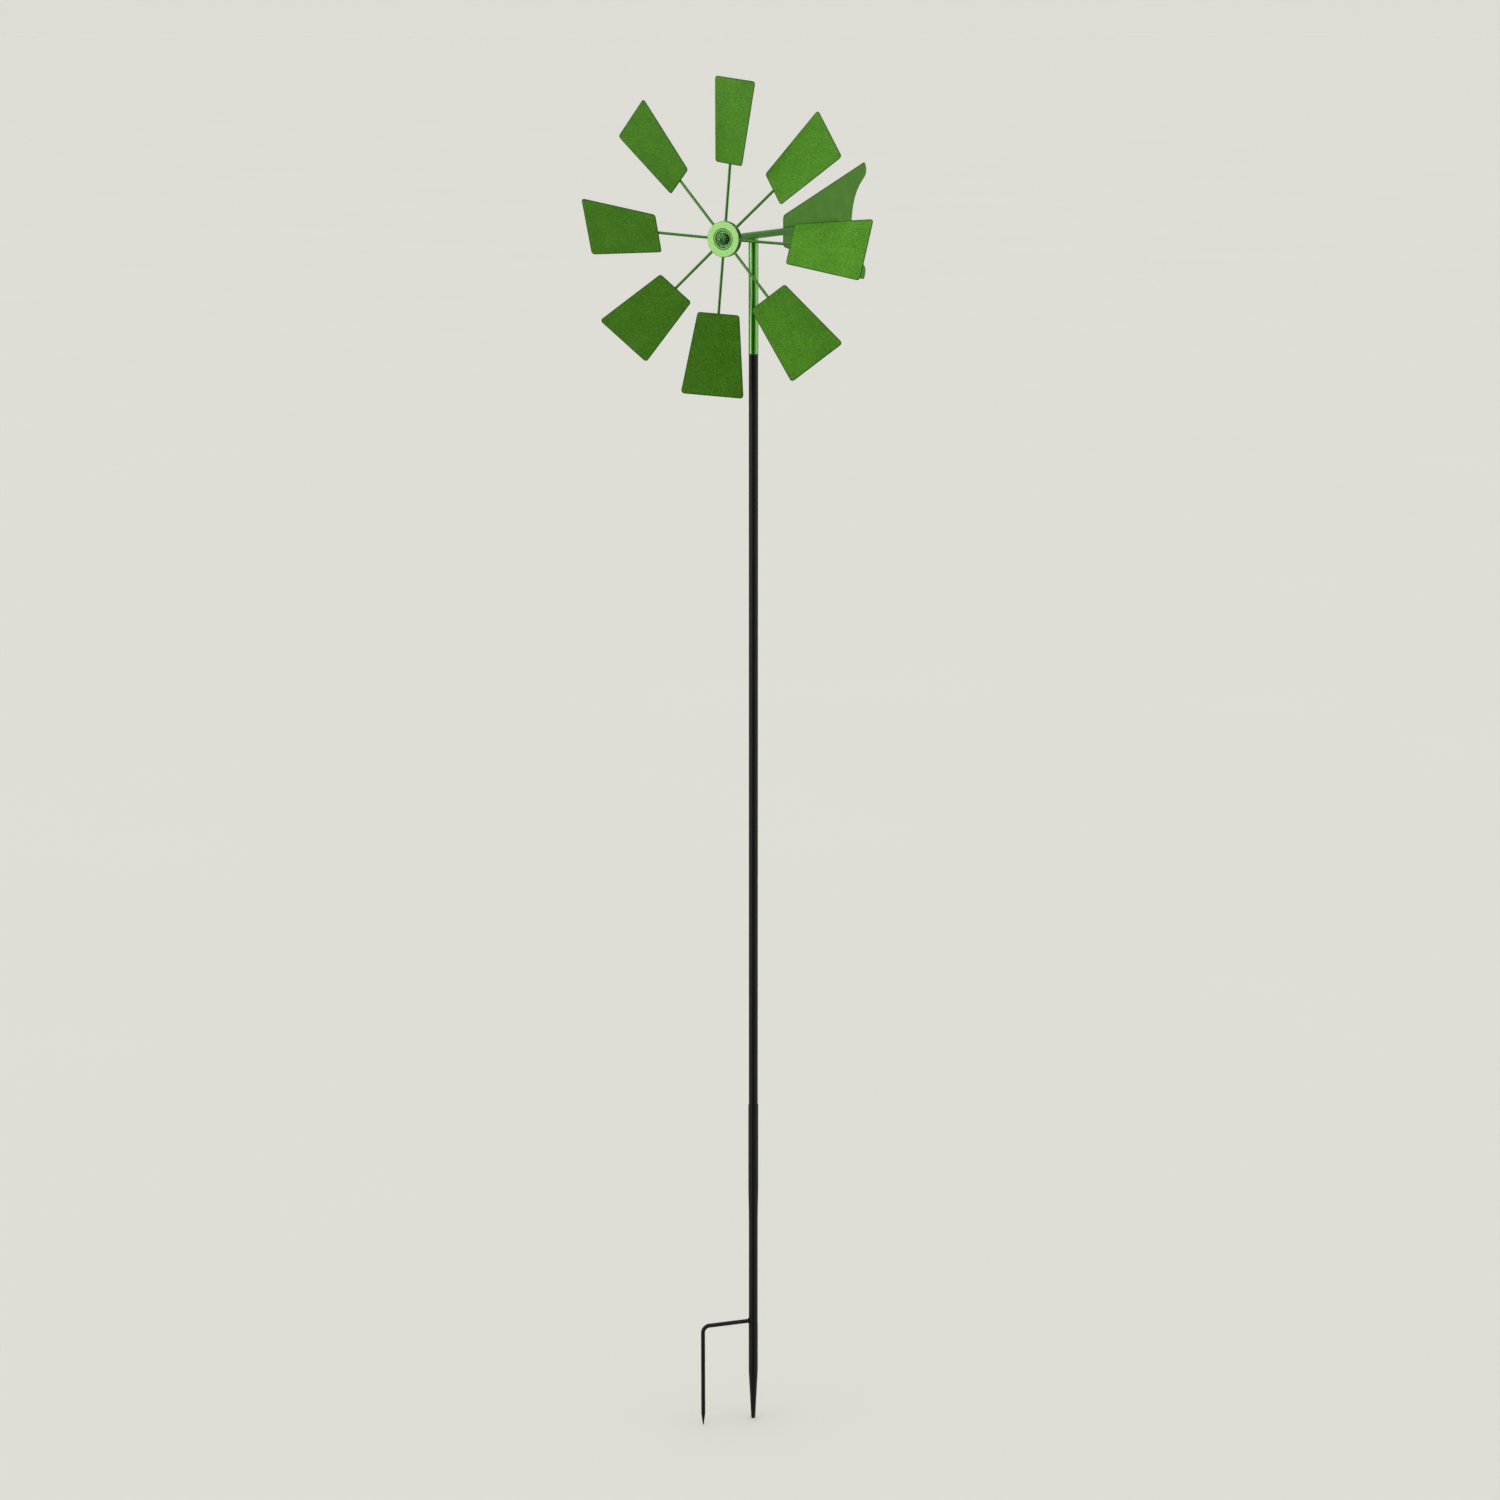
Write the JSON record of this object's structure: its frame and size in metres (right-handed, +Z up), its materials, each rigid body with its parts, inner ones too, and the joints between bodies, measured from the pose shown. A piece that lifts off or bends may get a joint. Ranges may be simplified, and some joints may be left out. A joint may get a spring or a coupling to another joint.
{
  "type": "garden windmill",
  "caption": "Garden windmill: a pitched-blade wheel and a tail vane on a swivelling boom, on a sectional pole with a ground spike and a bent fork rod.",
  "frame": {"origin": "on the pole's axis at the ground line, where the spike begins just under the fork rod's arm", "axes": "+Z up along the pole; at rest the wheel faces -Y and the tail vane trails towards +Y; the fork rod's arm points between -X and -Y"},
  "size_m": [0.3958, 0.4401, 1.8027],
  "materials": {
    "green_paint": "fine metallic green paint, satin",
    "light_green_paint": "light metallic green paint, satin",
    "dark_green_metal": "dark green lacquer over plated steel, glossy",
    "bearing_steel": "steel with green overspray, semi-gloss",
    "black_paint": "black powder coat, semi-matt",
    "zinc_steel": "zinc plated",
    "polished_steel": "polished",
    "nylon": "black moulded nylon"
  },
  "bodies": {
    "pole": {"lower_stake": "black_paint", "ground_spike": "black_paint", "fork_rod": "black_paint", "middle_pole": "black_paint", "upper_pole": "black_paint", "pole_plug": "zinc_steel", "swivel_pin": "zinc_steel", "thrust_ball": "polished_steel"},
    "head": {"lower_bush": "nylon", "upper_bush": "nylon", "mast_tube": "green_paint", "mast_cap": "green_paint", "boom": "green_paint", "tail_vane": "green_paint", "axle_collar": "green_paint", "bearing_inner_ring": "bearing_steel", "axle_washer": "dark_green_metal", "acorn_nut": "dark_green_metal"},
    "bearing_cage": {"bearing_cage": "bearing_steel", "bearing_balls": "bearing_steel"},
    "wheel": {"wheel_hub": "light_green_paint", "bearing_outer_ring": "bearing_steel", "spoke_1": "green_paint", "spoke_2": "green_paint", "spoke_3": "green_paint", "spoke_4": "green_paint", "spoke_5": "green_paint", "spoke_6": "green_paint", "spoke_7": "green_paint", "spoke_8": "green_paint", "blade_1": "green_paint", "blade_2": "green_paint", "blade_3": "green_paint", "blade_4": "green_paint", "blade_5": "green_paint", "blade_6": "green_paint", "blade_7": "green_paint", "blade_8": "green_paint"}
  },
  "joints": [
    {"name": "head_swivel", "type": "hinge", "parent": "pole", "child": "head", "pos_m": [0, 0, 1.3163], "axis": [0, 0, 1], "continuous": true},
    {"name": "wheel_spin", "type": "hinge", "parent": "head", "child": "wheel", "pos_m": [0, -0.079, 1.466], "axis": [0, 1, 0], "continuous": true},
    {"name": "cage_roll", "type": "hinge", "parent": "head", "child": "bearing_cage", "pos_m": [0, -0.079, 1.466], "axis": [0, 1, 0], "continuous": true}
  ],
  "couplings": [
    {"joint": "cage_roll", "follows": "wheel_spin", "ratio": 0.636}
  ]
}
